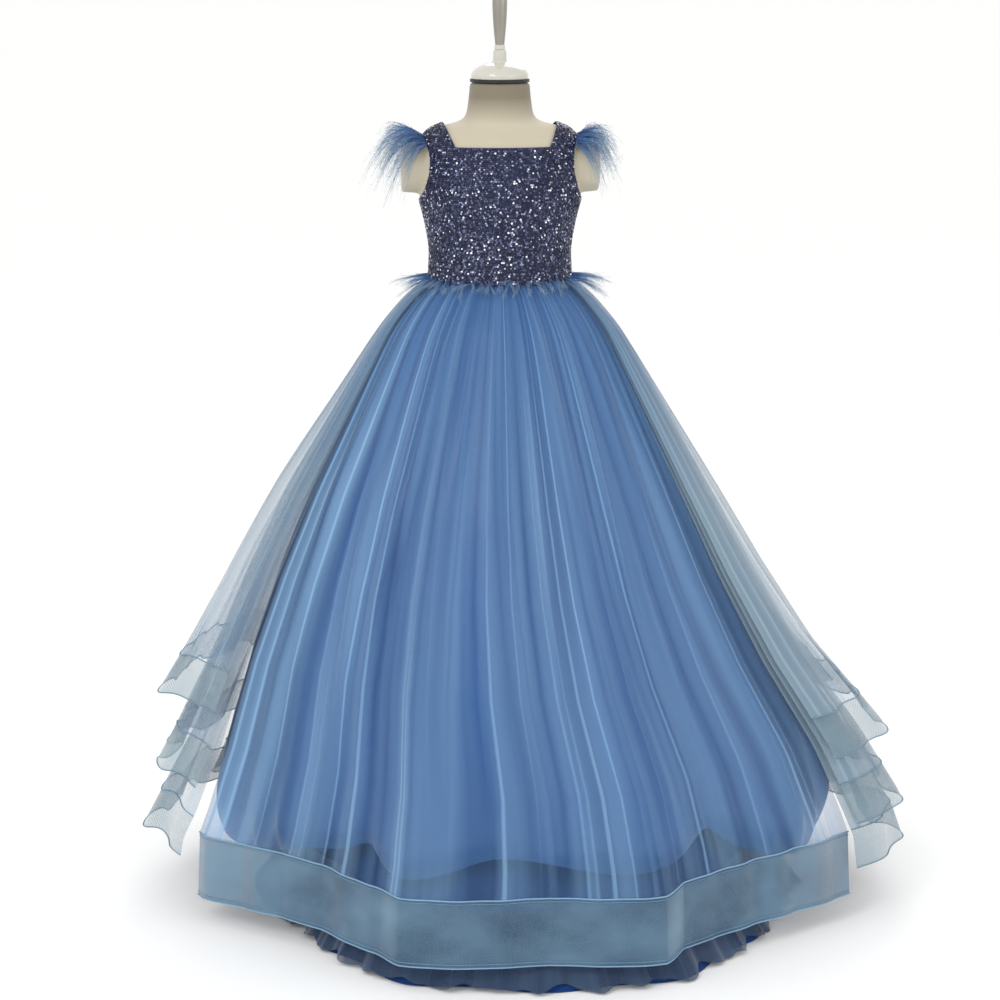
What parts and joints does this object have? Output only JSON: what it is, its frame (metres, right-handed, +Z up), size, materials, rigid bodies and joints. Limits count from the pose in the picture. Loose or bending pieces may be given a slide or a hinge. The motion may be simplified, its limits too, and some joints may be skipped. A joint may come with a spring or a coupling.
{
  "type": "princess dress on a dress form",
  "caption": "Child's floor-length princess dress with sequinned bodice, feathered armholes, satin and tiered net skirt, standing on a limbless dress form.",
  "frame": {"origin": "on the floor, under the middle of the dress form's pole", "axes": "+Z up, the front of the dress faces -Y, and +X is to the right as seen from the front, which is the wearer's left"},
  "size_m": [1.0442, 0.8896, 1.229],
  "materials": {
    "sequins": "mesh covered in small glossy sequins",
    "satin": "heavy satin with a soft sheen",
    "net": "soft sheer net",
    "braid": "stiff semi-sheer crin braid",
    "petticoat": "matt taffeta",
    "feather": "soft ostrich feather",
    "tape": "woven zip tape",
    "zip_metal": "nickel plate",
    "form": "cream jersey cover",
    "gloss": "glossy off-white enamel",
    "black": "matt black",
    "steel": "satin brushed"
  },
  "bodies": {
    "dress": {"armhole_feathers_left": "feather", "armhole_feathers_right": "feather", "bodice_back_left": "sequins", "bodice_back_right": "sequins", "bodice_front": "sequins", "form_base": "gloss", "form_bust": "form", "form_cap": "gloss", "form_collar": "gloss", "form_finial": "steel", "form_neck_ring": "black", "form_pole": "steel", "front_hem_band": "braid", "front_net_panel": "net", "long_net_tier": "net", "long_tier_band": "braid", "middle_net_tier": "net", "middle_tier_band": "braid", "petticoat": "petticoat", "satin_skirt": "satin", "short_net_tier": "net", "short_tier_band": "braid", "waist_feathers": "feather", "zip_slider": "zip_metal", "zip_tape": "tape"},
    "pull_tab": {"pull_tab": "zip_metal"}
  },
  "joints": [
    {"name": "pull_tab_swing", "type": "hinge", "parent": "dress", "child": "pull_tab", "pos_m": [0, 0.08234, 1.008], "axis": [1, 0, 0], "range_deg": [0, 150]}
  ]
}
